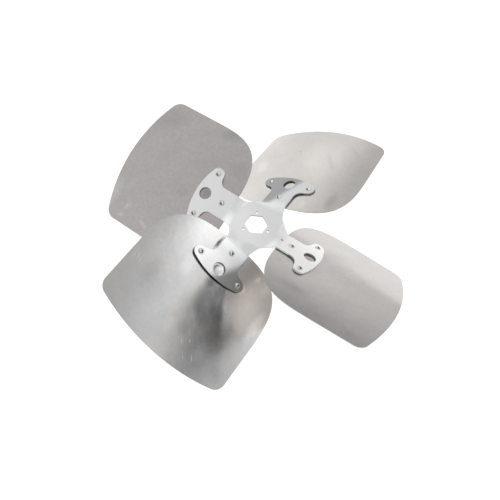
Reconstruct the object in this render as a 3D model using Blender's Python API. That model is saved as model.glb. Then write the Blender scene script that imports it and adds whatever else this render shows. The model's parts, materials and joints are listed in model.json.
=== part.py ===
"""Condenser fan blade: four cambered aluminium blades riveted behind a stamped steel spider.

Metres, +Z along the fan's axis towards the spider's face. The fan lies face up, as it would on a
bench: the origin is on its axis at the height of the blades' lowest corners. Arm 1 points along
+X and the others follow counter-clockwise.
"""

import math

import bmesh
import bpy
from mathutils import Matrix, Vector

# Fan
ARM_COUNT = 4
TIP_RADIUS = 0.2794
BLADE_PITCH = math.radians(26.2)
PITCH_RADIUS = 0.110
TWIST_PER_METRE = math.radians(8.7)
SPIDER_SHEET = 0.003
BLADE_SHEET = 0.0015
SEAT_GAP = 0.0003

# The spider's heads stand off the blades, and lie a little steeper than they do
STAND_OFF = 0.00105
HEAD_EXTRA_PITCH = math.radians(0.75)

# Blade sheet: a cylinder whose highest line, the crown, runs out along the arm
CAMBER_RADIUS = 0.805
CROWN_SKEW = math.radians(1.8)
CROWN_OFFSET = -0.0014
CROWN_HEIGHT = -(SPIDER_SHEET + STAND_OFF)

# Blade blank, laid flat: along is out from the fan's axis, across is counter-clockwise
RAISED_SIDE = -0.1293
LOWERED_SIDE = 0.1246
LOWERED_SIDE_TAPER = -0.0314
SIDE_STATION = 0.200
INNER_END_CENTRE = 0.167
INNER_END_REACH = 0.1136
INNER_END_POWER = 3.25
TIP_CORNER_RADIUS = 0.0206
TIP_ARC_CENTRE = (-0.0741, 0.0087)
TIP_ARC_RADIUS = 0.3537

# Spider
NECK_HALF_WIDTH = 0.0252
HUB_FILLET = 0.030
BEND_START = 0.038
BEND_END = 0.054
NOTCH_FILLET = 0.0138
HEAD_RADIUS = 0.1282
EAR_CENTRE = (0.1092, 0.0424)
EAR_FLARE = math.radians(16)

# Holes in the spider
HEXAGON_CORNER_RADIUS = 0.0206
HEXAGON_TURN = math.radians(30)
PILOT_HOLE_RADIUS = 0.0023
PILOT_CIRCLE_RADIUS = 0.0246
PILOT_ANGLES = (math.radians(30), math.radians(150), math.radians(270))
INDEX_ARM = 3
INDEX_HOLE = (0.0535, 0.0)
INDEX_HOLE_RADIUS = 0.0022
HEAD_HOLE = (0.1098, 0.0)
HEAD_HOLE_RADIUS = 0.0111

# Semi-tubular rivets, set from the back, their ends rolled over on the spider's face
RIVET_PLACES = {"neck": (0.0736, 0.0), "raised": (0.1089, -0.0415), "lowered": (0.1089, 0.0415)}
RIVET_SHANK_RADIUS = 0.0030
RIVET_HOLE_RADIUS = 0.0033
ROLL_RADIUS = 0.0047
ROLL_HEIGHT = 0.0013
BORE_RADIUS = 0.0019
BORE_DEPTH = 0.0035
ROLL_EDGE = 0.0006
RIVET_HEAD_RADIUS = 0.0056
RIVET_HEAD_HEIGHT = 0.0018
CUT_ABOVE = 0.005
CUT_BELOW = 0.012

# Facets
ARC_STEP = math.radians(10)
BLADE_CUT = 0.020
BLADE_LONG_CUT = 0.045
BEND_CUTS = 7
HEAD_CUT = 0.018
ROUND_HOLE_SIDES = 24
SMALL_HOLE_SIDES = 12
RIVET_SIDES = 16
DOME_STEPS = 4
INNER_END_STEPS = 36
SMOOTH_ANGLE = math.radians(30)


def clear_scene():
    for obj in list(bpy.data.objects):
        bpy.data.objects.remove(obj, do_unlink=True)


def metal(name, colour, roughness, metallic):
    material = bpy.data.materials.new(name)
    material.use_nodes = True
    shader = material.node_tree.nodes["Principled BSDF"]
    shader.inputs["Base Color"].default_value = (*colour, 1.0)
    shader.inputs["Roughness"].default_value = roughness
    shader.inputs["Metallic"].default_value = metallic
    material.diffuse_color = (*colour, 1.0)
    return material


def add_object(name, bm, material):
    """A new object from a bmesh, shaded smooth up to SMOOTH_ANGLE."""
    mesh = bpy.data.meshes.new(name)
    bm.to_mesh(mesh)
    bm.free()
    mesh.materials.append(material)
    mesh.shade_smooth()
    mesh.set_sharp_from_angle(angle=SMOOTH_ANGLE)
    obj = bpy.data.objects.new(name, mesh)
    bpy.context.collection.objects.link(obj)
    return obj


def ramp(value, start, end):
    """0 before start, 1 after end, and a smooth step between."""
    x = min(max((value - start) / (end - start), 0.0), 1.0)
    return x * x * (3 - 2 * x)


def arc(centre, radius, start, end, step=ARC_STEP):
    """Points along an arc, both ends included."""
    count = max(2, math.ceil(abs(end - start) / step))
    angles = [start + (end - start) * i / count for i in range(count + 1)]
    return [(centre[0] + radius * math.cos(a), centre[1] + radius * math.sin(a)) for a in angles]


def pitched_point(out, across, height, extra=0.0, share=1.0):
    """A place in an arm's own frame, turned about the arm's axis by its pitch at that radius."""
    pitch = share * (BLADE_PITCH + extra + TWIST_PER_METRE * (out - PITCH_RADIUS))
    cos, sin = math.cos(pitch), math.sin(pitch)
    return Vector((out, across * cos + height * sin, height * cos - across * sin))


def blade_point(along, across, depth):
    """Where a point of the flat blank comes to lie, depth below the sheet's face, on arm 1."""
    angle = across / CAMBER_RADIUS
    radius = CAMBER_RADIUS - depth
    side = radius * math.sin(angle) + CROWN_OFFSET
    height = CROWN_HEIGHT - CAMBER_RADIUS + radius * math.cos(angle)
    out = along * math.cos(CROWN_SKEW) - side * math.sin(CROWN_SKEW)
    return pitched_point(out, along * math.sin(CROWN_SKEW) + side * math.cos(CROWN_SKEW), height)


def arm_point(out, across, depth):
    """Where a point of the flat spider comes to lie on arm 1: the head is cambered like the blade."""
    bent = ramp(out, BEND_START, BEND_END)
    crown = across * math.cos(CROWN_SKEW) - out * math.sin(CROWN_SKEW) - CROWN_OFFSET
    height = -bent * crown * crown / (2 * CAMBER_RADIUS) - depth
    return pitched_point(out, across, height, HEAD_EXTRA_PITCH, bent)


def arm_turn(index):
    return Matrix.Rotation(math.tau * index / ARM_COUNT, 4, "Z")


def side_at(along, side, taper):
    return side + taper * (along - SIDE_STATION)


def tip_corner(side, taper):
    """Centre of the fillet between a blade's side and its tip arc."""
    inward = -math.copysign(TIP_CORNER_RADIUS, side)
    along = TIP_RADIUS
    for _ in range(20):
        across = side_at(along, side, taper) + inward
        reach = TIP_ARC_RADIUS - TIP_CORNER_RADIUS
        along = TIP_ARC_CENTRE[0] + math.sqrt(reach**2 - (across - TIP_ARC_CENTRE[1]) ** 2)
    return along, across


def blade_outline():
    """The flat blank, counter-clockwise from its raised side: tip, lowered side, inner end."""
    raised = tip_corner(RAISED_SIDE, 0.0)
    lowered = tip_corner(LOWERED_SIDE, LOWERED_SIDE_TAPER)
    slope = math.atan(LOWERED_SIDE_TAPER)

    def bearing(point):
        return math.atan2(point[1] - TIP_ARC_CENTRE[1], point[0] - TIP_ARC_CENTRE[0])

    points = arc(raised, TIP_CORNER_RADIUS, -math.pi / 2, bearing(raised))
    points += arc(TIP_ARC_CENTRE, TIP_ARC_RADIUS, bearing(raised), bearing(lowered), ARC_STEP / 3)[1:]
    points += arc(lowered, TIP_CORNER_RADIUS, bearing(lowered), math.pi / 2 + slope)[1:]
    low = side_at(INNER_END_CENTRE, RAISED_SIDE, 0.0)
    high = side_at(INNER_END_CENTRE, LOWERED_SIDE, LOWERED_SIDE_TAPER)
    for i in range(INNER_END_STEPS + 1):
        turn = math.pi * i / INNER_END_STEPS
        cos, sin = math.cos(turn), math.sin(turn)
        across = (low + high) / 2 + math.copysign(abs(cos) ** (2 / INNER_END_POWER), cos) * (high - low) / 2
        points.append((INNER_END_CENTRE - INNER_END_REACH * abs(sin) ** (2 / INNER_END_POWER), across))
    return points


def half_arm_outline():
    """The edge of arm 1 on its counter-clockwise side, from the hub's diagonal to the head's middle."""
    hub_centre = (NECK_HALF_WIDTH + HUB_FILLET, NECK_HALF_WIDTH + HUB_FILLET)
    points = arc(hub_centre, HUB_FILLET, math.radians(225), math.radians(270))
    ear_radius = HEAD_RADIUS - math.hypot(*EAR_CENTRE)
    cos, sin = math.cos(EAR_FLARE), math.sin(EAR_FLARE)
    notch_across = NECK_HALF_WIDTH + NOTCH_FILLET
    offset = ear_radius + NOTCH_FILLET
    travel = (notch_across - EAR_CENTRE[1] - offset * sin) / cos
    notch_centre = (EAR_CENTRE[0] - offset * cos + travel * sin, notch_across)
    ear_bearing = math.atan2(EAR_CENTRE[1], EAR_CENTRE[0])
    points += arc(notch_centre, NOTCH_FILLET, -math.pi / 2, -EAR_FLARE)
    points += arc(EAR_CENTRE, ear_radius, math.pi - EAR_FLARE, ear_bearing, ARC_STEP * 2)
    points += arc((0.0, 0.0), HEAD_RADIUS, ear_bearing, 0.0, ARC_STEP / 2)[1:]
    return points


def spider_outline():
    """The flat spider, counter-clockwise all the way round."""
    half = half_arm_outline()
    arm = [(out, -across) for out, across in half] + half[-2::-1]
    points = []
    for index in range(ARM_COUNT):
        turn = arm_turn(index)
        points += [tuple((turn @ Vector((*point, 0.0)))[:2]) for point in arm[:-1]]
    return points


def flat_sheet(outline, thickness):
    """A closed flat plate under the outline, its face at z = 0."""
    bm = bmesh.new()
    face = bm.faces.new([bm.verts.new((x, y, 0.0)) for x, y in outline])
    bm.normal_update()
    lower = bmesh.ops.extrude_face_region(bm, geom=[face], use_keep_orig=True)["geom"]
    moved = [item for item in lower if isinstance(item, bmesh.types.BMVert)]
    bmesh.ops.translate(bm, verts=moved, vec=(0.0, 0.0, -thickness))
    bmesh.ops.recalc_face_normals(bm, faces=bm.faces[:])
    return bm


def slice_sheet(bm, axis, stations):
    """Edges across the plate at each station, so that it can bend there."""
    normal = [0.0, 0.0, 0.0]
    normal[axis] = 1.0
    for station in stations:
        place = [0.0, 0.0, 0.0]
        place[axis] = station
        geometry = bm.verts[:] + bm.edges[:] + bm.faces[:]
        bmesh.ops.bisect_plane(bm, geom=geometry, dist=1e-6, plane_co=place, plane_no=normal)


def stations_between(low, high, step):
    count = max(1, round((high - low) / step))
    return [low + (high - low) * i / count for i in range(1, count)]


def bend_sheet(bm, placed):
    for vert in bm.verts:
        vert.co = placed(vert.co.x, vert.co.y, -vert.co.z)
    bmesh.ops.triangulate(bm, faces=bm.faces[:])
    bmesh.ops.recalc_face_normals(bm, faces=bm.faces[:])


def seat_frame(place):
    """Matrix at a place on a bent arm's face: +Z is the outward normal."""
    nudge = 0.0005
    out, across = place
    origin = arm_point(out, across, 0.0)
    along = (arm_point(out + nudge, across, 0.0) - origin).normalized()
    side = arm_point(out, across + nudge, 0.0) - origin
    normal = along.cross(side).normalized()
    turn = Matrix((along, normal.cross(along), normal)).transposed()
    return Matrix.Translation(origin) @ turn.to_4x4()


def add_hole(bm, frame, radius, sides=SMALL_HOLE_SIDES):
    """A closed cylinder along a frame's Z axis, from above the sheets to below them."""
    middle = Matrix.Translation((0.0, 0.0, (CUT_ABOVE - CUT_BELOW) / 2))
    bmesh.ops.create_cone(bm, cap_ends=True, segments=sides, radius1=radius, radius2=radius,
                          depth=CUT_ABOVE + CUT_BELOW, matrix=frame @ middle)


def cut_with(obj, bm):
    """Cuts a bmesh of closed cutters out of an object."""
    cutter = add_object(obj.name + "_cutter", bm, obj.data.materials[0])
    cutter.hide_render = True
    cutter.display_type = "WIRE"
    boolean = obj.modifiers.new("holes", "BOOLEAN")
    boolean.operation = "DIFFERENCE"
    boolean.solver = "EXACT"
    boolean.object = cutter


def make_blade(index, material):
    bm = flat_sheet(blade_outline(), BLADE_SHEET)
    slice_sheet(bm, 1, stations_between(RAISED_SIDE, LOWERED_SIDE, BLADE_CUT))
    slice_sheet(bm, 0, stations_between(INNER_END_CENTRE - INNER_END_REACH, TIP_RADIUS, BLADE_LONG_CUT))
    bend_sheet(bm, blade_point)
    blade = add_object(f"blade_{index + 1}", bm, material)
    holes = bmesh.new()
    for place in RIVET_PLACES.values():
        add_hole(holes, seat_frame(place), RIVET_HOLE_RADIUS)
    cut_with(blade, holes)
    blade.matrix_world = arm_turn(index)
    bpy.data.objects[blade.name + "_cutter"].matrix_world = arm_turn(index)
    return blade


def bent_spider_point(x, y, depth):
    """Bends the flat spider: each arm turns about its own axis, the hub stays flat."""
    index = round(math.atan2(y, x) / (math.tau / ARM_COUNT)) % ARM_COUNT
    turn = arm_turn(index)
    flat = turn.inverted() @ Vector((x, y, 0.0))
    return turn @ arm_point(flat.x, flat.y, depth)


def spider_cutters():
    """The hexagon, pilot holes, head holes and rivet holes, as closed cylinders."""
    holes = bmesh.new()
    add_hole(holes, Matrix.Rotation(HEXAGON_TURN, 4, "Z"), HEXAGON_CORNER_RADIUS, 6)
    for angle in PILOT_ANGLES:
        centre = Matrix.Rotation(angle, 4, "Z") @ Matrix.Translation((PILOT_CIRCLE_RADIUS, 0.0, 0.0))
        add_hole(holes, centre, PILOT_HOLE_RADIUS)
    for index in range(ARM_COUNT):
        add_hole(holes, arm_turn(index) @ seat_frame(HEAD_HOLE), HEAD_HOLE_RADIUS, ROUND_HOLE_SIDES)
        for place in RIVET_PLACES.values():
            add_hole(holes, arm_turn(index) @ seat_frame(place), RIVET_HOLE_RADIUS)
    add_hole(holes, arm_turn(INDEX_ARM) @ seat_frame(INDEX_HOLE), INDEX_HOLE_RADIUS)
    return holes


def make_spider(material):
    bm = flat_sheet(spider_outline(), SPIDER_SHEET)
    bends = [BEND_START + (BEND_END - BEND_START) * i / BEND_CUTS for i in range(BEND_CUTS + 1)]
    stations = [NECK_HALF_WIDTH / 2, NECK_HALF_WIDTH] + bends + [RIVET_PLACES["neck"][0]]
    stations += stations_between(RIVET_PLACES["neck"][0], HEAD_RADIUS, HEAD_CUT)
    for axis in (0, 1):
        slice_sheet(bm, axis, [0.0] + stations + [-station for station in stations])
    bend_sheet(bm, bent_spider_point)
    spider = add_object("spider", bm, material)
    cut_with(spider, spider_cutters())
    return spider


def rivet_grip(place):
    """Depth of a rivet's head below the spider's face: both sheets and what is open between them."""
    stand_off = STAND_OFF - place[1] * math.tan(HEAD_EXTRA_PITCH)
    return SPIDER_SHEET + stand_off + BLADE_SHEET + SEAT_GAP


def rivet_profile(grip):
    """Half section from the rolled end's bore to the middle of the domed head behind."""
    roll_top = SEAT_GAP + ROLL_HEIGHT
    points = [
        (0.0, roll_top - BORE_DEPTH),
        (BORE_RADIUS, roll_top - BORE_DEPTH),
        (BORE_RADIUS, roll_top - ROLL_HEIGHT / 2),
        (BORE_RADIUS + ROLL_EDGE, roll_top),
        (ROLL_RADIUS - ROLL_EDGE, roll_top - ROLL_EDGE / 2),
        (ROLL_RADIUS, SEAT_GAP + ROLL_EDGE),
        (ROLL_RADIUS, SEAT_GAP),
        (RIVET_SHANK_RADIUS, SEAT_GAP),
        (RIVET_SHANK_RADIUS, -grip),
        (RIVET_HEAD_RADIUS, -grip),
    ]
    for i in range(1, DOME_STEPS):
        turn = math.pi / 2 * i / DOME_STEPS
        points.append((RIVET_HEAD_RADIUS * math.cos(turn), -grip - RIVET_HEAD_HEIGHT * math.sin(turn)))
    points.append((0.0, -grip - RIVET_HEAD_HEIGHT))
    return points


def rivet_mesh(place):
    bm = bmesh.new()
    verts = [bm.verts.new((x, 0.0, z)) for x, z in rivet_profile(rivet_grip(place))]
    edges = [bm.edges.new(pair) for pair in zip(verts, verts[1:])]
    bmesh.ops.spin(bm, geom=verts + edges, cent=(0.0, 0.0, 0.0), axis=(0.0, 0.0, 1.0),
                   angle=math.tau, steps=RIVET_SIDES, use_merge=True)
    bmesh.ops.remove_doubles(bm, verts=bm.verts[:], dist=1e-6)
    bmesh.ops.recalc_face_normals(bm, faces=bm.faces[:])
    return bm


def make_rivets(material):
    for index in range(ARM_COUNT):
        for label, place in RIVET_PLACES.items():
            rivet = add_object(f"rivet_{index + 1}_{label}", rivet_mesh(place), material)
            rivet.matrix_world = arm_turn(index) @ seat_frame(place)


def lowest_point(outline):
    """Height of the blades' lowest corner below the hub's face."""
    return min(blade_point(along, across, BLADE_SHEET).z for along, across in outline)


def lift_all(height):
    for obj in bpy.data.objects:
        obj.matrix_world = Matrix.Translation((0.0, 0.0, height)) @ obj.matrix_world


def main():
    clear_scene()
    aluminium = metal("mill_aluminium", (0.60, 0.59, 0.575), 0.38, 1.0)
    steel = metal("galvanised_steel", (0.72, 0.73, 0.745), 0.34, 1.0)
    rivet_steel = metal("rivet_steel", (0.66, 0.67, 0.69), 0.30, 1.0)
    make_spider(steel)
    for index in range(ARM_COUNT):
        make_blade(index, aluminium)
    make_rivets(rivet_steel)
    lift_all(-lowest_point(blade_outline()))


main()
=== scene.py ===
"""Looks of the condenser fan blade: fine sheet metal, rivets, finishes, soft studio light and camera.

Metres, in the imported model's own frame: the fan lies face up, +Z along its axis. Each bent sheet is
drawn flat, as it was stamped, and then bent into the place that its CAD node holds. Arm 1 lies along
+X and the others follow counter-clockwise. Indices of arms and blades start at 0 for arm 1.
"""

import json
import math

import bmesh
import bpy
from mathutils import Matrix, Vector


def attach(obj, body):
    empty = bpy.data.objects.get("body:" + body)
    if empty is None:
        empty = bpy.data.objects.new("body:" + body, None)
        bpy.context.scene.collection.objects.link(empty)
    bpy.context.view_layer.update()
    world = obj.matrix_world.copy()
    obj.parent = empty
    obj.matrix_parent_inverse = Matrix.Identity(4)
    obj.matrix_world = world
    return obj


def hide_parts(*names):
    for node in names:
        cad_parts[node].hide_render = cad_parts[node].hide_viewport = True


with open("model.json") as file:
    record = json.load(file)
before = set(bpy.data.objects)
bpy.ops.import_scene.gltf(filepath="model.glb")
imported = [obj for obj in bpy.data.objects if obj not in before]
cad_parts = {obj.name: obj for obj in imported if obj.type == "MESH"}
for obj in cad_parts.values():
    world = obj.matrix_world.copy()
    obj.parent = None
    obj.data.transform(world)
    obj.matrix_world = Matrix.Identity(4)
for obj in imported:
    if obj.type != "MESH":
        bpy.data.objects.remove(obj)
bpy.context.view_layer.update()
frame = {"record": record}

MILLIMETRES = 1000.0

# Fan
ARM_COUNT = 4
BLADE_PITCH = math.radians(26.2)
PITCH_RADIUS = 0.110
TWIST_PER_METRE = math.radians(8.7)
SPIDER_SHEET = 0.003
BLADE_SHEET = 0.0015
HUB_HEIGHT = next(m["pos_m"][2] for m in frame["record"]["mounts"] if m["name"] == "hub_face")

# The spider's heads stand off the blades. Each arm's head has its own rise over the usual stand-off,
# lies a little steeper than its blade, and tips up or down towards its arc, by its rise per metre.
# It tips about the centre below, and no further than the reach on the neck's side of it
STAND_OFF = 0.00105
HEAD_FITS = [
    (-0.00050, math.radians(0.20), -0.014),
    (-0.00040, math.radians(0.20), -0.010),
    (0.0, math.radians(0.75), 0.036),
    (-0.00045, math.radians(0.20), -0.015),
]
HEAD_TIP_CENTRE = 0.100
HEAD_TIP_REACH = 0.012

# Blade sheet and blank
CAMBER_RADIUS = 0.805
CROWN_SKEW = math.radians(1.8)
CROWN_OFFSET = -0.0014
CROWN_HEIGHT = -(SPIDER_SHEET + STAND_OFF)
RAISED_SIDE = -0.1293
LOWERED_SIDE = 0.1246
LOWERED_SIDE_TAPER = -0.0314
SIDE_STATION = 0.200
INNER_END_CENTRE = 0.167
INNER_END_REACH = 0.1136
INNER_END_POWER = 3.25
INNER_END_STEPS = 120
TIP_CORNER_RADIUS = 0.0206
TIP_ARC_CENTRE = (-0.0741, 0.0087)
TIP_ARC_RADIUS = 0.3536
BLADE_EDGE_RADIUS = 0.00025
BLADE_SLICE_END = 0.2795
BLADE_STEP_ALONG = 0.008
BLADE_STEP_ACROSS = 0.005

# Spider
NECK_HALF_WIDTH = 0.0252
HUB_FILLET = 0.030
BEND_START = 0.036
BEND_END = 0.058
NOTCH_FILLET = 0.0138
HEAD_RADIUS = 0.1281
EAR_CENTRE = (0.1092, 0.0424)
EAR_FLARE = math.radians(16)
HEXAGON_CORNER_RADIUS = 0.0206
PILOT_HOLE_RADIUS = 0.0023
PILOT_CIRCLE_RADIUS = 0.0246
PILOT_ANGLES = (math.radians(30), math.radians(150), math.radians(270))
INDEX_ARM = 3
INDEX_HOLE = (0.0535, 0.0)
INDEX_HOLE_RADIUS = 0.0022
HEAD_HOLE = (0.1098, 0.0)
HEAD_HOLE_RADIUS = 0.0111
SPIDER_EDGE_RADIUS = 0.0004
SPIDER_SLICE_END = 0.128
HUB_STEP = 0.006
BEND_STEP = 0.001
HEAD_STEP = 0.005

# Sheet edges and holes: the flat band beside a rounded edge, how far a sharp corner's mitre may run,
# how near two points are the same, and the sides of a small round hole
EDGE_BAND = 0.0004
MITRE_LIMIT = 0.5
SLICE_TOLERANCE = 1e-7
MERGE_DISTANCE = 1e-6
SMALL_HOLE_SIDES = 24

# One blade has a shallow dish pressed in it, seen through its arm's head hole
DISHED_BLADE = 2
DISH_RADIUS = 0.0100
DISH_DEPTH = 0.0003
DISH_SLICE_REACH = 0.0105
DISH_STEP = 0.001

# Rivets. Painted shade darkens the half of each bore towards the arm's lowered side, leaning along
# the arm by each arm's way, and it sets in over the start and end of its shade
RIVET_PLACES = {"neck": (0.0736, 0.0), "raised": (0.1089, -0.0415), "lowered": (0.1089, 0.0415)}
RIVET_SIDES = 48
RIVET_SHANK_RADIUS = 0.0030
RIVET_HOLE_RADIUS = 0.0032
ROLL_RADIUS = 0.0047
ROLL_HEIGHT = 0.0006
BORE_RADIUS = 0.0035
BORE_FLOOR_RADIUS = 0.0010
BORE_DEPTH = 0.0009
BORE_MARGIN = 0.0001
BORE_SHADE_WAYS = (-0.7, 0.7, -0.7, 0.7)
BORE_SHADE = (0.0001, 0.0013)
RIVET_HEAD_RADIUS = 0.0056
RIVET_HEAD_HEIGHT = 0.0018
RIVET_HEAD_CHAMFER = (0.0003, 0.0002)
RIVET_ARC_STEPS = 12

# Camera, from the photograph: lens and sensor in millimetres
CAMERA_PLACE = (-0.4403, -0.2101, HUB_HEIGHT + 0.7289)
CAMERA_AIM = (-0.0497, -0.0205, HUB_HEIGHT)
CAMERA_ROLL = math.radians(9.42)
CAMERA_LENS = 36.29
CAMERA_SENSOR = 36.0

# Floor
FLOOR_REACH = 6.0
FLOOR_COLOUR = 0.10
FLOOR_ROUGHNESS = 0.9
FLOOR_GLOW = 1.08

# Studio light: an even light all round, with soft patches on it. A patch is its azimuth, elevation and
# spread in degrees, its strength over the even light, or under it below 0, and the side of the box's
# edge that it keeps to, with 0 for both
STUDIO_BASE = 0.74
BOX_EDGE = (49.6, 13.3)
BOX_EDGE_SPREAD = 0.8
STUDIO = [
    (-33.4, 51.0, 5.1, 1.92, 1),
    (-65.5, 43.5, 7.2, -1.94, -1),
    (-68.7, 46.7, 6.8, 1.72, 0),
    (-64.8, 24.3, 4.0, 1.07, 0),
    (-137.0, 71.2, 20.0, -0.29, 0),
    (76.3, 0.0, 20.0, 0.88, 0),
    (41.7, 31.2, 4.0, -0.26, 0),
    (43.7, 23.5, 6.7, 0.25, 0),
    (6.9, 21.8, 11.1, -1.07, 0),
    (7.7, 17.9, 10.2, 1.07, 0),
]

# Finishes. Sizes and places are millimetres on the flat sheet, and a share is of the light that a
# place would send back without the painted light or shade. Noise stays mostly inside its range. Each
# sheet's noise is moved by its seed times the shift
NOISE_RANGE = (0.3, 0.7)
NOISE_ROUGHNESS = 0.55
SEED_SHIFT = (331.0, 173.0, 57.0)

# Blades. A mark is its centre, its two half sizes, its turn in degrees, and how much darker (or
# lighter, below 0) and rougher it is. Some are scratches, rubs and smudges, and others are painted
# shade, painted reflections and painted highlights: the dark slit beside arm 3's neck, the light in
# blade 3's dish, dark and light reflections painted on blade 3, and the shade in the head holes of
# blades 2 and 4. The mottle moves the edges of all but the narrowest ones
ALUMINIUM_ROUGHNESS = 0.15
MARK_WOBBLE = 5.0
NARROW_MARK = 3
BLADE_LOOKS = [
    {"base": (0.590, 0.561, 0.538), "cast": (0.580, 0.560, 0.540), "mottle": 0.035, "flecks": -0.06,
     "marks_and_painted_light": [
        (213, 35, 9, 3, 60, 0.15, 0.10), (206, 41, 5, 2, 30, 0.13, 0.10),
        (195, -42, 40, 7, 35, 0.05, 0.08), (158, 94, 34, 18, 20, -0.10, 0.05),
        (165, -88, 16, 6, -40, 0.06, 0.12), (228, -80, 30, 5, 50, 0.05, 0.05),
        (200, -14, 74, 62, 0, -0.12, 0.00), (98, -92, 28, 14, 0, 0.20, 0.05),
        (75, -47, 16, 12, 0, -0.07, 0.00),
    ]},
    {"base": (0.569, 0.536, 0.523), "cast": (0.562, 0.535, 0.526), "mottle": 0.075, "flecks": 0.24,
     "marks_and_painted_light": [
        (154, 18, 15, 13, 20, 0.10, 0.05), (152, 17, 8, 7, 20, -0.08, 0.00),
        (166, 62, 2.4, 1.8, 0, -0.20, 0.10), (172, 56, 1.8, 1.4, 0, -0.18, 0.10),
        (162, -66, 3, 1.6, 50, -0.12, 0.10), (234, 91, 16, 6, 70, -0.20, 0.15),
        (238, 112, 9, 5, 20, -0.22, 0.15), (190, 106, 14, 6, -30, -0.16, 0.12),
        (110, 0, 24, 24, 0, 0.28, 0.00), (128, -118, 36, 18, 20, 0.14, 0.00),
        (80, -66, 26, 24, 0, 0.10, 0.00), (272, 82, 16, 46, 0, -0.18, 0.05),
        (99, -35, 18, 12, 0, 0.06, 0.04), (245, -90, 44, 30, 30, 0.11, 0.03),
        (246, 50, 26, 10, 80, -0.05, 0.10),
    ]},
    {"base": (0.560, 0.559, 0.564), "cast": (0.566, 0.555, 0.540), "mottle": 0.045, "flecks": 0.06,
     "marks_and_painted_light": [
        (239.5, 21, 7.5, 1.1, 48, -0.25, 0.15), (231.5, 32, 5.5, 1, 41, -0.22, 0.15),
        (257, 38, 6.5, 1, 45, -0.16, 0.15), (249.5, 51, 8.2, 1.1, 42, -0.25, 0.15),
        (179.5, -120, 7.5, 1.1, 9, -0.20, 0.15), (180, -114, 8, 1, 8, -0.18, 0.15),
        (181.5, -108, 5.5, 1, 12, -0.18, 0.15), (75, -26.5, 20, 3.6, -2, 0.85, 0.10),
        (107, 1.5, 13, 13, 0, -0.50, 0.00), (202, 68, 46, 28, 15, 0.45, 0.03),
        (190, 22, 30, 15, 40, 0.33, 0.02), (143, -42, 30, 18, 10, -0.16, 0.00),
        (242, 94, 34, 20, 60, 0.20, 0.12), (148, 30, 24, 12, 0, -0.38, 0.00),
        (188, -82, 38, 20, 0, 0.14, 0.03), (132, 84, 64, 40, 20, -0.34, 0.02),
        (222, 14, 24, 17, 0, 0.15, 0.00), (212, -20, 24, 14, 0, -0.07, 0.00),
        (165, 62, 44, 14, 25, 0.00, 0.15), (233, -9, 22, 14, 0, -0.10, 0.00),
        (158, 41, 24, 14, 25, -0.50, 0.00), (134, 2, 20, 14, 0, 0.40, 0.00),
        (164, 5, 56, 18, 3, 0.34, 0.00), (111, 54, 11, 10, 0, -0.35, 0.00),
        (142, 111, 40, 14, -5, -0.42, 0.00), (80, 88, 20, 15, 0, -0.18, 0.00),
        (236, 58, 24, 17, 0, -0.22, 0.00), (103, 5, 8, 8, 0, -0.35, 0.00),
    ]},
    {"base": (0.572, 0.551, 0.533), "cast": (0.572, 0.549, 0.536), "mottle": 0.04, "flecks": 0.05,
     "marks_and_painted_light": [
        (150, 60, 38, 22, 30, 0.02, 0.05), (192, -108, 34, 14, 10, 0.11, 0.08),
        (129, -85, 24, 16, 0, 0.08, 0.00), (112, 3, 14, 14, 0, 0.20, 0.00),
        (215, 70, 3, 2, 0, -0.08, 0.08), (112, -87, 30, 16, 0, 0.12, 0.02),
        (190, 20, 26, 16, 0, -0.02, 0.05), (74, -47, 10, 8, 0, 0.05, 0.03),
        (228, -112, 20, 14, 0, 0.10, 0.03), (84, 26, 18, 14, 0, -0.12, 0.02),
    ]},
]
BACK_TINT = (1.0, 0.965, 0.925)
# Painted shade on the blades' backs: full depth before the first reach along the blade, none past the
# second
BACK_SHADE_REACH = (80.0, 118.0)
BACK_SHADE_DEPTH = 0.28
ALUMINIUM_RIM_LIGHT = 0.10

# Spider. A patch of painted light or shade is its arm, the direction that it deepens in, where it
# starts and is full along that, and its share. All patches fade out towards the arm's root
STEEL_SEED = 7
STEEL_ROUGHNESS = 0.30
STEEL_TINTS = ((0.948, 0.948, 0.948), (0.932, 0.944, 0.952))
SPANGLE_SIZE = 6.25
STEEL_PAINTED_LIGHT = [
    (0, (1.0, 0.0), 47, 66, 0.66),
    (0, (0.42, 0.907), 25, 41, 0.52),
    (1, (1.0, 0.0), 45, 60, 1.04),
    (2, (1.0, 0.0), 58, 80, 0.86),
    (2, (0.5, 0.866), 53, 71, 0.36),
    (3, (1.0, 0.0), 70, 90, 1.01),
]
PAINTED_LIGHT_ROOT = (46.0, 60.0)
GRIME_RADIUS = 5.6
GRIME_SOFTNESS = 0.10

# Painted shade darkens its rims most on the arc of arm 3, and less in the holes and the notches
# beside the heads.
# Its bends get a little painted shade and are duller, and painted light makes its hub lighter at one
# corner and darker at the opposite one
ARC_RIM_REACH = (102.0, 116.0)
ARC_RIM_SHADE_SHARE = 0.06
HOLE_WALL_SHADE_SHARE = 0.42
NOTCH_SHADE = (88.0, 32.0, 15.0, 15.0, 0.0, 0.5)
NOTCH_SHARE = 0.40
BEND_ZONE = ((34.0, 42.0), (54.0, 62.0))
BEND_SHADE_SHARE = 0.97
BEND_DULLING = 0.22
HUB_PAINTED_LIGHT_WAY = (0.7, -0.7, 0.0)
HUB_PAINTED_LIGHT_REACH = 32.0
HUB_PAINTED_LIGHT_SHARES = (1.035, 0.925)
HUB_PAINTED_LIGHT_EDGE = (46.0, 34.0)

# Rivets
RIVET_COLOUR = (0.86, 0.865, 0.87)
RIVET_ROUGHNESS = (0.07, 0.14)
BORE_SHADE_SHARES = (1.02, 0.16)
BORE_DULLING = 0.3


def arc(centre, radius, start, end, step=math.radians(4)):
    """Points along an arc, both ends included."""
    count = max(2, math.ceil(abs(end - start) / step))
    angles = [start + (end - start) * i / count for i in range(count + 1)]
    return [(centre[0] + radius * math.cos(a), centre[1] + radius * math.sin(a)) for a in angles]


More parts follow.
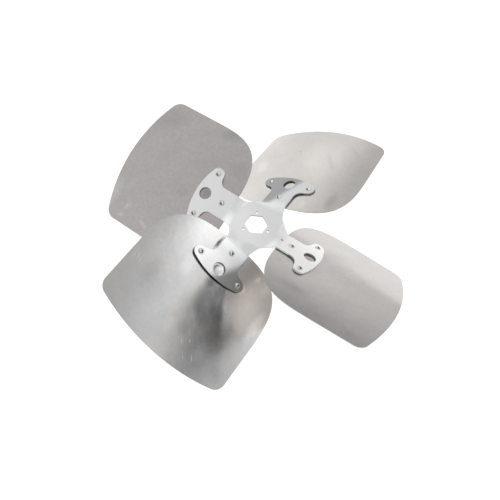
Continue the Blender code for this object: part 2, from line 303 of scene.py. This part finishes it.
def circle(centre, radius, count=48):
    return arc(centre, radius, 0.0, math.tau, math.tau / count)[:-1]


def ramp(value, start, end):
    """0 before start, 1 after end, and a smooth step between."""
    x = min(max((value - start) / (end - start), 0.0), 1.0)
    return x * x * (3 - 2 * x)


def steps_between(low, high, step):
    """Even stations about a step apart, without the two ends."""
    count = max(1, round((high - low) / step))
    return [low + (high - low) * i / count for i in range(1, count)]


def arm_turn(index):
    return Matrix.Rotation(math.tau * index / ARM_COUNT, 4, "Z")


def pitched_point(out, across, height, extra=0.0, share=1.0):
    """A place in an arm's own frame, turned about the arm's axis by its pitch at that radius."""
    pitch = share * (BLADE_PITCH + extra + TWIST_PER_METRE * (out - PITCH_RADIUS))
    cos, sin = math.cos(pitch), math.sin(pitch)
    return Vector((out, across * cos + height * sin, height * cos - across * sin))


def blade_point(along, across, depth):
    """Where a point of the flat blank comes to lie, depth below the sheet's face, on arm 1."""
    angle = across / CAMBER_RADIUS
    radius = CAMBER_RADIUS - depth
    side = radius * math.sin(angle) + CROWN_OFFSET
    height = CROWN_HEIGHT - CAMBER_RADIUS + radius * math.cos(angle)
    out = along * math.cos(CROWN_SKEW) - side * math.sin(CROWN_SKEW)
    return pitched_point(out, along * math.sin(CROWN_SKEW) + side * math.cos(CROWN_SKEW), height)


def dished_point(along, across, depth):
    """The same, with the dish pressed in."""
    reach = min(math.hypot(along - HEAD_HOLE[0], across - HEAD_HOLE[1]) / DISH_RADIUS, 1.0)
    return blade_point(along, across, depth + DISH_DEPTH * (1 - reach**4))


def head_rise(index, out):
    """How much more than the usual stand-off a head stands off its blade, at a place along its arm."""
    rise, _, slope = HEAD_FITS[index]
    return rise + slope * max(out - HEAD_TIP_CENTRE, -HEAD_TIP_REACH)


def arm_point(index, out, across, depth):
    """Where a point of a flat arm comes to lie, turned to arm 1: the head is cambered like the blade."""
    bent = ramp(out, BEND_START, BEND_END)
    crown = across * math.cos(CROWN_SKEW) - out * math.sin(CROWN_SKEW) - CROWN_OFFSET
    height = bent * (head_rise(index, out) - crown * crown / (2 * CAMBER_RADIUS)) - depth
    return pitched_point(out, across, height, HEAD_FITS[index][1], bent)


def spider_point(x, y, depth):
    """Bends the flat spider: each arm turns about its own axis, and the hub stays flat."""
    index = round(math.atan2(y, x) / (math.tau / ARM_COUNT)) % ARM_COUNT
    turn = arm_turn(index)
    flat = turn.inverted() @ Vector((x, y, 0.0))
    return turn @ arm_point(index, flat.x, flat.y, depth)


def side_at(along, side, taper):
    return side + taper * (along - SIDE_STATION)


def tip_corner(side, taper):
    """Centre of the fillet between a blade's side and its tip arc, found by repetition."""
    inward = -math.copysign(TIP_CORNER_RADIUS, side)
    reach = TIP_ARC_RADIUS - TIP_CORNER_RADIUS
    along = TIP_ARC_RADIUS
    for _ in range(20):
        across = side_at(along, side, taper) + inward
        along = TIP_ARC_CENTRE[0] + math.sqrt(reach**2 - (across - TIP_ARC_CENTRE[1]) ** 2)
    return along, across


def blade_outline():
    """The flat blank, counter-clockwise from its raised side: tip, lowered side, inner end."""
    raised = tip_corner(RAISED_SIDE, 0.0)
    lowered = tip_corner(LOWERED_SIDE, LOWERED_SIDE_TAPER)

    def bearing(point):
        return math.atan2(point[1] - TIP_ARC_CENTRE[1], point[0] - TIP_ARC_CENTRE[0])

    points = arc(raised, TIP_CORNER_RADIUS, -math.pi / 2, bearing(raised))
    points += arc(TIP_ARC_CENTRE, TIP_ARC_RADIUS, bearing(raised), bearing(lowered), math.radians(1))[1:]
    end = math.pi / 2 + math.atan(LOWERED_SIDE_TAPER)
    points += arc(lowered, TIP_CORNER_RADIUS, bearing(lowered), end)[1:]
    low = side_at(INNER_END_CENTRE, RAISED_SIDE, 0.0)
    high = side_at(INNER_END_CENTRE, LOWERED_SIDE, LOWERED_SIDE_TAPER)
    power = 2 / INNER_END_POWER
    for i in range(INNER_END_STEPS + 1):
        angle = math.pi * i / INNER_END_STEPS
        cos, sin = math.cos(angle), math.sin(angle)
        across = (low + high) / 2 + math.copysign(abs(cos) ** power, cos) * (high - low) / 2
        points.append((INNER_END_CENTRE - INNER_END_REACH * abs(sin) ** power, across))
    return points


def half_arm_outline():
    """The edge of arm 1 on its counter-clockwise side, from the hub's diagonal to the head's middle."""
    hub_centre = (NECK_HALF_WIDTH + HUB_FILLET, NECK_HALF_WIDTH + HUB_FILLET)
    points = arc(hub_centre, HUB_FILLET, math.radians(225), math.radians(270))
    ear_radius = HEAD_RADIUS - math.hypot(*EAR_CENTRE)
    cos, sin = math.cos(EAR_FLARE), math.sin(EAR_FLARE)
    notch_across = NECK_HALF_WIDTH + NOTCH_FILLET
    offset = ear_radius + NOTCH_FILLET
    travel = (notch_across - EAR_CENTRE[1] - offset * sin) / cos
    notch_centre = (EAR_CENTRE[0] - offset * cos + travel * sin, notch_across)
    ear_bearing = math.atan2(EAR_CENTRE[1], EAR_CENTRE[0])
    points += arc(notch_centre, NOTCH_FILLET, -math.pi / 2, -EAR_FLARE)
    points += arc(EAR_CENTRE, ear_radius, math.pi - EAR_FLARE, ear_bearing)
    points += arc((0.0, 0.0), HEAD_RADIUS, ear_bearing, 0.0, math.radians(1))[1:]
    return points


def turned(points, index):
    return [tuple((arm_turn(index) @ Vector((*point, 0.0)))[:2]) for point in points]


def spider_outline():
    """The flat spider, counter-clockwise all the way round."""
    half = half_arm_outline()
    arm = [(out, -across) for out, across in half] + half[-2::-1]
    return [point for index in range(ARM_COUNT) for point in turned(arm[:-1], index)]


def small_hole(centre, radius):
    return circle(centre, radius, SMALL_HOLE_SIDES)


def spider_holes():
    holes = [circle((0.0, 0.0), HEXAGON_CORNER_RADIUS, 6)]
    for angle in PILOT_ANGLES:
        centre = (PILOT_CIRCLE_RADIUS * math.cos(angle), PILOT_CIRCLE_RADIUS * math.sin(angle))
        holes.append(small_hole(centre, PILOT_HOLE_RADIUS))
    for index in range(ARM_COUNT):
        holes.append(turned(circle(HEAD_HOLE, HEAD_HOLE_RADIUS), index))
        for place in RIVET_PLACES.values():
            holes.append(turned(small_hole(place, RIVET_HOLE_RADIUS), index))
    holes.append(turned(small_hole(INDEX_HOLE, INDEX_HOLE_RADIUS), INDEX_ARM))
    return holes


def inset_loop(points, distance):
    """The loop moved to its left by a distance: inwards on a counter-clockwise loop."""
    moved = []
    for i, point in enumerate(points):
        before, after = Vector(points[i - 1]), Vector(points[(i + 1) % len(points)])
        here = Vector(point)
        first, second = (here - before).normalized(), (after - here).normalized()
        bisector = Vector((-first.y - second.y, first.x + second.x)).normalized()
        share = max(bisector.dot(Vector((-first.y, first.x))), MITRE_LIMIT)
        moved.append(tuple(here + bisector * (distance / share)))
    return moved


def rim_profile(thickness, radius, steps=3):
    """(inset, depth) pairs down the edge of a sheet, from its face to its back, rounded a little."""
    pairs = [(radius + EDGE_BAND, 0.0)]
    for i in range(steps + 1):
        angle = math.pi / 2 * i / steps
        pairs.append((radius * (1 - math.sin(angle)), radius * (1 - math.cos(angle))))
    pairs += [(inset, thickness - depth) for inset, depth in reversed(pairs)]
    return pairs


def plate(outline, holes, thickness, edge_radius):
    """A closed flat sheet with rounded edges, its face at z = 0. Holes are counter-clockwise too.

    Its attribute rim is 1 at the outline's wall and 2 at a hole's, and back is 1 on its back."""
    bm = bmesh.new()
    rim = bm.verts.layers.float.new("rim")
    back = bm.verts.layers.float.new("back")
    loops = [outline] + [hole[::-1] for hole in holes]
    profile = rim_profile(thickness, edge_radius)
    caps = {0: [], len(profile) - 1: []}
    for loop in loops:
        wall = 1.0 if loop is outline else 2.0
        rings = []
        for inset, depth in profile:
            ring = [bm.verts.new((x, y, -depth)) for x, y in inset_loop(loop, inset)]
            for vert in ring:
                vert[rim] = wall * (inset < edge_radius / 4)
                vert[back] = float(depth > thickness / 2)
            rings.append(ring)
        for upper, lower in zip(rings, rings[1:]):
            for i in range(len(loop)):
                bm.faces.new((upper[i - 1], lower[i - 1], lower[i], upper[i]))
        for level in caps:
            ring = rings[level]
            caps[level] += [bm.edges.get((ring[i - 1], ring[i])) for i in range(len(ring))]
    for edges in caps.values():
        bmesh.ops.triangle_fill(bm, edges=edges, use_beauty=True)
    bmesh.ops.recalc_face_normals(bm, faces=bm.faces[:])
    return bm


def slice_plate(bm, axis, stations):
    """Edges across the plate at each station, so that it can bend there."""
    normal = [0.0, 0.0, 0.0]
    normal[axis] = 1.0
    for station in stations:
        place = [0.0, 0.0, 0.0]
        place[axis] = station
        geometry = bm.verts[:] + bm.edges[:] + bm.faces[:]
        bmesh.ops.bisect_plane(bm, geom=geometry, dist=SLICE_TOLERANCE, plane_co=place, plane_no=normal)


def bend_plate(bm, placed):
    """Moves each point to its bent place, and keeps the flat place as the UV map, one unit a metre."""
    flat = bm.loops.layers.uv.new("flat")
    for face in bm.faces:
        face.smooth = True
        for loop in face.loops:
            loop[flat].uv = loop.vert.co.xy
    for vert in bm.verts:
        vert.co = placed(vert.co.x, vert.co.y, -vert.co.z)


def seat_frame(index, place):
    """Matrix at a place on a bent arm's face: +Z is the outward normal."""
    nudge = 0.0005
    out, across = place
    origin = arm_point(index, out, across, 0.0)
    along = (arm_point(index, out + nudge, across, 0.0) - origin).normalized()
    side = arm_point(index, out, across + nudge, 0.0) - origin
    normal = along.cross(side).normalized()
    turn = Matrix((along, normal.cross(along), normal)).transposed()
    return Matrix.Translation(origin) @ turn.to_4x4()


def rivet_profile(index, place):
    """Half section from the rolled end's bore to the middle of the domed head behind."""
    stand_off = STAND_OFF + head_rise(index, place[0]) - place[1] * math.tan(HEAD_FITS[index][1])
    grip = SPIDER_SHEET + stand_off + BLADE_SHEET
    roll_middle = (BORE_RADIUS + ROLL_RADIUS) / 2
    roll_half = (ROLL_RADIUS - BORE_RADIUS) / 2
    chamfer_width, chamfer_height = RIVET_HEAD_CHAMFER
    points = [(0.0, -BORE_DEPTH), (BORE_FLOOR_RADIUS, -BORE_DEPTH)]
    for i in range(RIVET_ARC_STEPS + 1):
        turn = math.pi * (1 - i / RIVET_ARC_STEPS)
        points.append((roll_middle + roll_half * math.cos(turn), ROLL_HEIGHT * math.sin(turn)))
    points += [(RIVET_SHANK_RADIUS, 0.0), (RIVET_SHANK_RADIUS, -grip),
               (RIVET_HEAD_RADIUS - chamfer_width, -grip)]
    for i in range(1, RIVET_ARC_STEPS + 1):
        turn = math.pi / 2 * i / RIVET_ARC_STEPS
        drop = chamfer_height + RIVET_HEAD_HEIGHT * math.sin(turn)
        points.append((RIVET_HEAD_RADIUS * math.cos(turn), -grip - drop))
    points[-1] = (0.0, points[-1][1])
    return points


def rivet_bmesh(index, place):
    """A set rivet. Its attribute bore is 1 in the half of its bore that gets painted shade."""
    bm = bmesh.new()
    verts = [bm.verts.new((x, 0.0, z)) for x, z in rivet_profile(index, place)]
    edges = [bm.edges.new(pair) for pair in zip(verts, verts[1:])]
    bmesh.ops.spin(bm, geom=verts + edges, cent=(0.0, 0.0, 0.0), axis=(0.0, 0.0, 1.0),
                   angle=math.tau, steps=RIVET_SIDES, use_merge=True)
    bmesh.ops.remove_doubles(bm, verts=bm.verts[:], dist=MERGE_DISTANCE)
    bmesh.ops.recalc_face_normals(bm, faces=bm.faces[:])
    bore = bm.verts.layers.float.new("bore")
    for vert in bm.verts:
        inside = vert.co.xy.length < BORE_RADIUS + BORE_MARGIN
        if inside and vert.co.z > -BORE_DEPTH - BORE_MARGIN:
            # Painted shade: the half of the bore towards the lowered side
            vert[bore] = ramp(vert.co.y + BORE_SHADE_WAYS[index] * vert.co.x, *BORE_SHADE)
    return bm


def connect(tree, socket, value):
    """Links a socket to another one, or sets it. None leaves it as it is."""
    if isinstance(value, bpy.types.NodeSocket):
        tree.links.new(value, socket)
    elif value is not None:
        socket.default_value = value


def add_node(tree, kind, *values, **settings):
    """A node with its settings made, and each value linked or set on its input in order."""
    node = tree.nodes.new(kind)
    for name, value in settings.items():
        setattr(node, name, value)
    for socket, value in zip(node.inputs, values):
        connect(tree, socket, value)
    return node


def calculate(tree, operation, *values):
    return add_node(tree, "ShaderNodeMath", *values, operation=operation).outputs[0]


def times(tree, first, second):
    return calculate(tree, "MULTIPLY", first, second)


def add_layers(tree, value, *layers):
    """A value with each layer added: its amount times its change."""
    for amount, change in layers:
        value = calculate(tree, "MULTIPLY_ADD", amount, change, value)
    return value


def remap(tree, value, low, high, new_low=0.0, new_high=1.0, kind="SMOOTHSTEP"):
    """A value taken from one range to another, and kept inside it."""
    node = add_node(tree, "ShaderNodeMapRange", value, low, high, new_low, new_high,
                    interpolation_type=kind)
    return node.outputs[0]


def spread(tree, noise, low, high):
    """Noise taken evenly to a range."""
    return remap(tree, noise, *NOISE_RANGE, low, high, "LINEAR")


def dimmed(tree, light, amount, share):
    """Light brought to a share of itself where an amount is 1."""
    return times(tree, light, remap(tree, amount, 0.0, 1.0, 1.0, share))


def tint(tree, share, first, second, how="MIX"):
    """Two colours mixed, or the first one multiplied by the second, by a share."""
    node = add_node(tree, "ShaderNodeMix", share, data_type="RGBA", blend_type=how)
    for socket, colour in ((node.inputs[6], first), (node.inputs[7], second)):
        connect(tree, socket, colour if isinstance(colour, bpy.types.NodeSocket) else (*colour, 1.0))
    return node.outputs[2]


def shade(tree, colour, factor):
    """A colour or vector multiplied by a factor."""
    node = add_node(tree, "ShaderNodeVectorMath", colour, operation="SCALE")
    connect(tree, node.inputs["Scale"], factor)
    return node.outputs[0]


def reach_along(tree, place, way):
    """How far a place lies along a way of unit length."""
    return add_node(tree, "ShaderNodeVectorMath", place, way, operation="DOT_PRODUCT").outputs["Value"]


def axis_of(tree, place, axis):
    return add_node(tree, "ShaderNodeSeparateXYZ", place).outputs[axis]


def attribute(tree, name):
    return add_node(tree, "ShaderNodeAttribute", attribute_name=name).outputs["Fac"]


def flat_place(tree, seed):
    """Place on the flat sheet in millimetres, and the same place moved so that no two sheets match."""
    place = shade(tree, add_node(tree, "ShaderNodeUVMap", uv_map="flat").outputs[0], MILLIMETRES)
    shift = tuple(step * seed for step in SEED_SHIFT)
    return place, add_node(tree, "ShaderNodeVectorMath", place, shift).outputs[0]


def grain(tree, place, size, detail=3.0, ratio=1.0, turn=0.0):
    """Noise of about a size in millimetres, drawn out by a ratio along a turned direction."""
    axes = add_node(tree, "ShaderNodeMapping", place, None, (0.0, 0.0, math.radians(turn)),
                    (size * ratio, size, size), vector_type="TEXTURE").outputs[0]
    texture = add_node(tree, "ShaderNodeTexNoise", noise_dimensions="2D")
    connect(tree, texture.inputs["Vector"], axes)
    texture.inputs["Scale"].default_value = 1.0
    texture.inputs["Detail"].default_value = detail
    texture.inputs["Roughness"].default_value = NOISE_ROUGHNESS
    return texture.outputs[0]


def mark(tree, place, along, across, long, short, turn, soft=0.9):
    """1 in the middle of a turned ellipse and 0 outside it."""
    axes = add_node(tree, "ShaderNodeMapping", place, (along, across, 0.0),
                    (0.0, 0.0, math.radians(turn)), (long, short, 1.0), vector_type="TEXTURE").outputs[0]
    flat = add_node(tree, "ShaderNodeVectorMath", axes, (1.0, 1.0, 0.0), operation="MULTIPLY").outputs[0]
    reach = add_node(tree, "ShaderNodeVectorMath", flat, operation="LENGTH").outputs["Value"]
    return remap(tree, reach, 1.0 - soft, 1.0, 1.0, 0.0)


def new_metal(name):
    material = bpy.data.materials.new(name)
    material.use_nodes = True
    shader = material.node_tree.nodes["Principled BSDF"]
    shader.inputs["Metallic"].default_value = 1.0
    return material, material.node_tree, shader


def finish_metal(tree, shader, colour, roughness, height):
    """Joins the finish to its shader: the height is in millimetres."""
    bump = add_node(tree, "ShaderNodeBump")
    bump.inputs["Strength"].default_value = 1.0
    bump.inputs["Distance"].default_value = 1 / MILLIMETRES
    connect(tree, bump.inputs["Height"], height)
    connect(tree, shader.inputs["Base Color"], colour)
    connect(tree, shader.inputs["Roughness"], roughness)
    connect(tree, shader.inputs["Normal"], bump.outputs[0])


def mill_aluminium(index):
    """Rolled sheet as it came from the mill, with scratches and rubs, and with painted light and shade.
    """
    material, tree, shader = new_metal(f"mill_aluminium_{index + 1}")
    look = BLADE_LOOKS[index]
    place, moved = flat_place(tree, index + 1)
    cloud = grain(tree, moved, size=62.0)
    other_cloud = grain(tree, moved, size=34.0, detail=4.0, ratio=1.6, turn=40.0)
    mottle = grain(tree, moved, size=7.0, detail=5.0)
    rolled = grain(tree, moved, size=0.7, detail=2.0, ratio=25.0, turn=90.0)
    scratches = remap(tree, grain(tree, moved, size=1.1, detail=1.0, ratio=30.0, turn=25.0), 0.74, 0.82)
    rubs = remap(tree, grain(tree, moved, size=2.2, detail=2.0, ratio=16.0, turn=-50.0), 0.62, 0.80)
    specks = remap(tree, grain(tree, moved, size=2.6, detail=1.0), 0.74, 0.80)
    back = attribute(tree, "back")
    rim = calculate(tree, "MINIMUM", attribute(tree, "rim"), 1.0)
    wobbling = add_node(tree, "ShaderNodeVectorMath", place, shade(tree, mottle, MARK_WOBBLE)).outputs[0]
    darker = 0.0
    rougher = 0.0
    # Each spot is a scratch, rub or smudge, or painted shade, a painted reflection or a painted
    # highlight
    for *spot, darkness, dulling in look["marks_and_painted_light"]:
        amount = mark(tree, place if min(spot[2:4]) < NARROW_MARK else wobbling, *spot)
        darker = add_layers(tree, darker, (amount, darkness))
        rougher = add_layers(tree, rougher, (amount, dulling))
    darker = times(tree, darker, calculate(tree, "SUBTRACT", 1.0, back))
    light = add_layers(tree, spread(tree, other_cloud, 0.975, 1.025),
                       (spread(tree, mottle, -0.5, 0.5), look["mottle"]),
                       (spread(tree, rolled, -0.5, 0.5), 0.012),
                       (scratches, 0.03), (rubs, 0.02), (specks, look["flecks"]), (darker, -1.0))
    # Painted shade on the back, deepest towards the root
    back_shade = remap(tree, axis_of(tree, place, "X"), *BACK_SHADE_REACH, BACK_SHADE_DEPTH, 0.0)
    light = times(tree, light, calculate(tree, "SUBTRACT", 1.0, times(tree, back, back_shade)))
    light = add_layers(tree, light, (rim, ALUMINIUM_RIM_LIGHT))
    roughness = spread(tree, cloud, ALUMINIUM_ROUGHNESS - 0.01, ALUMINIUM_ROUGHNESS + 0.02)
    roughness = add_layers(tree, roughness,
                           (mottle, 0.02), (scratches, 0.05), (rubs, 0.03), (rougher, 1.0), (rim, 0.2))
    height = add_layers(tree, 0.0, (other_cloud, 0.10), (mottle, 0.008), (rolled, 0.0008),
                        (scratches, -0.002), (specks, -0.004))
    colour = tint(tree, remap(tree, cloud, 0.40, 0.60), look["base"], look["cast"])
    colour = tint(tree, back, colour, BACK_TINT, "MULTIPLY")
    finish_metal(tree, shader, shade(tree, colour, light), roughness, height)
    return material


def spangle_tones(tree, place):
    """A tone from 0 to 1 for each crystal of the plating."""
    cells = add_node(tree, "ShaderNodeTexVoronoi", voronoi_dimensions="2D")
    connect(tree, cells.inputs["Vector"], shade(tree, place, 1 / SPANGLE_SIZE))
    cells.inputs["Scale"].default_value = 1.0
    return axis_of(tree, cells.outputs["Color"], "X")


def folded_place(tree, place):
    """A place folded onto one side of arm 1, so that it is the same on all arms."""
    sides = add_node(tree, "ShaderNodeVectorMath", place, operation="ABSOLUTE").outputs[0]
    axes = add_node(tree, "ShaderNodeSeparateXYZ", sides).outputs
    return add_node(tree, "ShaderNodeCombineXYZ", calculate(tree, "MAXIMUM", axes[0], axes[1]),
                    calculate(tree, "MINIMUM", axes[0], axes[1])).outputs[0]


def under_painted_light(tree, place, light):
    """Light with the painted light and shade on the arms."""
    for arm, way, start, full, share in STEEL_PAINTED_LIGHT:
        out = arm_turn(arm) @ Vector((1.0, 0.0, 0.0))
        deepening = arm_turn(arm) @ Vector((*way, 0.0))
        depth = remap(tree, reach_along(tree, place, deepening), start, full)
        depth = times(tree, depth, remap(tree, reach_along(tree, place, out), *PAINTED_LIGHT_ROOT))
        light = times(tree, light, calculate(tree, "MULTIPLY_ADD", depth, share - 1.0, 1.0))
    return light


def with_rim_shade(tree, place, folded, rim, light):
    """Light with painted shade on the sheared edges: on the arc of arm 3, in the holes and in the
    notches.
    """
    on_arc = remap(tree, reach_along(tree, place, (-1.0, 0.0, 0.0)), *ARC_RIM_REACH)
    light = dimmed(tree, light, times(tree, on_arc, rim), ARC_RIM_SHADE_SHARE)
    light = times(tree, light, remap(tree, attribute(tree, "rim"), 1.0, 2.0, 1.0, HOLE_WALL_SHADE_SHARE))
    return dimmed(tree, light, times(tree, mark(tree, folded, *NOTCH_SHADE), rim), NOTCH_SHARE)


def galvanised_steel():
    """Plated sheet: a faint spangle, grime rings at the rivets, dark sheared edges, painted light and
    shade.
    """
    material, tree, shader = new_metal("galvanised_steel")
    place, moved = flat_place(tree, STEEL_SEED)
    cloud = grain(tree, moved, size=40.0)
    mottle = grain(tree, moved, size=5.0, detail=4.0)
    fine = grain(tree, moved, size=0.8, detail=2.0, ratio=3.0, turn=20.0)
    scratches = remap(tree, grain(tree, moved, size=0.9, detail=1.0, ratio=26.0, turn=65.0), 0.70, 0.78)
    folded = folded_place(tree, place)
    out = axis_of(tree, folded, "X")
    rim = calculate(tree, "MINIMUM", attribute(tree, "rim"), 1.0)
    grime = 0.0
    for label in ("neck", "lowered"):
        centre = (MILLIMETRES * value for value in RIVET_PLACES[label])
        ring = mark(tree, folded, *centre, GRIME_RADIUS, GRIME_RADIUS, 0.0, GRIME_SOFTNESS)
        grime = calculate(tree, "MAXIMUM", grime, ring)
    bend_start, bend_end = BEND_ZONE
    bend = times(tree, remap(tree, out, *bend_start), remap(tree, out, *bend_end, 1.0, 0.0))
    # Painted light on the hub: lighter at one corner and darker at the opposite one, fading before the
    # bends
    hub_reach = reach_along(tree, place, HUB_PAINTED_LIGHT_WAY)
    hub_painted_light = remap(tree, hub_reach, -HUB_PAINTED_LIGHT_REACH, HUB_PAINTED_LIGHT_REACH, *HUB_PAINTED_LIGHT_SHARES)
    light = add_layers(tree, spread(tree, cloud, 0.985, 1.01), (spangle_tones(tree, moved), 0.012),
                       (mottle, 0.03), (fine, 0.02), (scratches, -0.03), (grime, -0.50))
    light = under_painted_light(tree, place, light)
    light = with_rim_shade(tree, place, folded, rim, light)
    # Painted shade over the bends, which are also duller
    light = dimmed(tree, light, bend, BEND_SHADE_SHARE)
    light = times(tree, light, remap(tree, out, *HUB_PAINTED_LIGHT_EDGE, 1.0, hub_painted_light))
    roughness = spread(tree, cloud, STEEL_ROUGHNESS - 0.02, STEEL_ROUGHNESS + 0.03)
    roughness = add_layers(tree, roughness, (mottle, 0.03), (scratches, 0.12), (grime, 0.2), (rim, 0.3),
                           (bend, BEND_DULLING))
    height = add_layers(tree, 0.0, (cloud, 0.02), (mottle, 0.004), (fine, 0.0015), (scratches, -0.006))
    colour = tint(tree, remap(tree, mottle, 0.35, 0.65), *STEEL_TINTS)
    connect(tree, shader.inputs["Metallic"], remap(tree, rim, 0.0, 1.0, 1.0, 0.0))
    finish_metal(tree, shader, shade(tree, colour, light), roughness, height)
    return material


def rivet_steel():
    """Plated rivet, with painted shade in one half of its bore, which is duller there."""
    material, tree, shader = new_metal("rivet_steel")
    place = shade(tree, add_node(tree, "ShaderNodeTexCoord").outputs["Object"], MILLIMETRES)
    speckle = grain(tree, place, size=0.8)
    bore = attribute(tree, "bore")
    # Painted shade in one half of the bore
    light = times(tree, spread(tree, speckle, 0.93, 1.05), remap(tree, bore, 0.0, 1.0, *BORE_SHADE_SHARES))
    roughness = add_layers(tree, spread(tree, speckle, *RIVET_ROUGHNESS), (bore, BORE_DULLING))
    height = times(tree, speckle, 0.004)
    finish_metal(tree, shader, shade(tree, RIVET_COLOUR, light), roughness, height)
    return material


def add_object(name, mesh):
    piece = bpy.data.objects.new(name, mesh)
    bpy.context.scene.collection.objects.link(piece)
    return piece


def add_mesh(name, bm, material):
    """A mesh object of one material, in place of its bmesh."""
    mesh = bpy.data.meshes.new(name)
    bm.to_mesh(mesh)
    bm.free()
    mesh.materials.append(material)
    return add_object(name, mesh)


def add_piece(name, bm, material, nodes, matrix):
    """A piece of the fan, riding on its one body, in place of CAD nodes."""
    piece = add_mesh(name, bm, material)
    piece.data.shade_smooth()
    piece.matrix_world = matrix
    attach(piece, "root")
    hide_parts(*nodes)


def make_blade(index, matrix):
    dished = index == DISHED_BLADE
    holes = [small_hole(place, RIVET_HOLE_RADIUS) for place in RIVET_PLACES.values()]
    bm = plate(blade_outline(), holes, BLADE_SHEET, BLADE_EDGE_RADIUS)
    slice_plate(bm, 1, steps_between(RAISED_SIDE, LOWERED_SIDE, BLADE_STEP_ACROSS))
    inner_end = INNER_END_CENTRE - INNER_END_REACH
    slice_plate(bm, 0, steps_between(inner_end, BLADE_SLICE_END, BLADE_STEP_ALONG))
    if dished:
        offsets = steps_between(-DISH_SLICE_REACH, DISH_SLICE_REACH, DISH_STEP)
        for axis in (0, 1):
            slice_plate(bm, axis, [HEAD_HOLE[axis] + offset for offset in offsets])
    bend_plate(bm, dished_point if dished else blade_point)
    add_piece(f"blade_{index + 1}_sheet", bm, mill_aluminium(index),
              [f"blade_{index + 1}"], matrix)


def make_spider(matrix):
    bm = plate(spider_outline(), spider_holes(), SPIDER_SHEET, SPIDER_EDGE_RADIUS)
    stations = [0.0] + steps_between(0.0, BEND_START, HUB_STEP)
    stations += steps_between(BEND_START - BEND_STEP, BEND_END + BEND_STEP, BEND_STEP)
    stations += steps_between(BEND_END, SPIDER_SLICE_END, HEAD_STEP)
    for axis in (0, 1):
        slice_plate(bm, axis, sorted(set(stations + [-station for station in stations])))
    bend_plate(bm, spider_point)
    add_piece("spider_sheet", bm, galvanised_steel(), ["spider"], matrix)


def make_fan():
    lift = Matrix.Translation((0.0, 0.0, HUB_HEIGHT))
    plated = rivet_steel()
    for index in range(ARM_COUNT):
        on_arm = lift @ arm_turn(index)
        make_blade(index, on_arm)
        for label, place in RIVET_PLACES.items():
            add_piece(f"rivet_{index + 1}_{label}_set", rivet_bmesh(index, place), plated,
                      [f"rivet_{index + 1}_{label}"], on_arm @ seat_frame(index, place))
    make_spider(lift)


def add_floor():
    bm = bmesh.new()
    bmesh.ops.create_grid(bm, x_segments=1, y_segments=1, size=FLOOR_REACH)
    material = bpy.data.materials.new("floor_white")
    material.use_nodes = True
    shader = material.node_tree.nodes["Principled BSDF"]
    shader.inputs["Base Color"].default_value = (FLOOR_COLOUR, FLOOR_COLOUR, FLOOR_COLOUR, 1.0)
    shader.inputs["Roughness"].default_value = FLOOR_ROUGHNESS
    shader.inputs["Emission Color"].default_value = (1.0, 1.0, 1.0, 1.0)
    shader.inputs["Emission Strength"].default_value = FLOOR_GLOW
    floor = add_mesh("floor", bm, material)


def add_camera():
    camera = add_object("camera", bpy.data.cameras.new("camera"))
    camera.data.lens = CAMERA_LENS
    camera.data.sensor_width = CAMERA_SENSOR
    sight = (Vector(CAMERA_AIM) - Vector(CAMERA_PLACE)).to_track_quat("-Z", "Y").to_matrix().to_4x4()
    roll = Matrix.Rotation(CAMERA_ROLL, 4, "Z")
    camera.matrix_world = Matrix.Translation(CAMERA_PLACE) @ sight @ roll
    bpy.context.scene.camera = camera


def direction(azimuth, elevation):
    """The unit vector towards an azimuth and elevation in degrees."""
    azimuth, elevation = math.radians(azimuth), math.radians(elevation)
    level = math.cos(elevation)
    return Vector((level * math.cos(azimuth), level * math.sin(azimuth), math.sin(elevation)))


def add_studio():
    """Soft light from all round, brighter at the studio's boxes and darker between them."""
    world = bpy.data.worlds.new("studio")
    bpy.context.scene.world = world
    world.use_nodes = True
    tree = world.node_tree
    way = add_node(tree, "ShaderNodeTexCoord").outputs["Generated"]
    edge_width = 4 * math.sin(math.radians(BOX_EDGE_SPREAD))
    edge = calculate(tree, "DIVIDE", reach_along(tree, way, direction(*BOX_EDGE)), edge_width)
    inside = remap(tree, edge, -0.5, 0.5)
    sides = {1: inside, -1: calculate(tree, "SUBTRACT", 1.0, inside)}
    total = STUDIO_BASE
    for azimuth, elevation, spread_angle, strength, side in STUDIO:
        sharpness = 1 / math.radians(spread_angle) ** 2
        nearness = reach_along(tree, way, direction(azimuth, elevation))
        fall = calculate(tree, "MULTIPLY_ADD", nearness, sharpness, -sharpness)
        bell = calculate(tree, "EXPONENT", fall)
        if side:
            bell = times(tree, bell, sides[side])
        total = add_layers(tree, total, (bell, strength))
    background = tree.nodes["Background"]
    background.inputs["Color"].default_value = (1.0, 1.0, 1.0, 1.0)
    connect(tree, background.inputs["Strength"], calculate(tree, "MAXIMUM", total, 0.0))
    bpy.context.scene.view_settings.view_transform = "Standard"


make_fan()
add_floor()
add_camera()
add_studio()
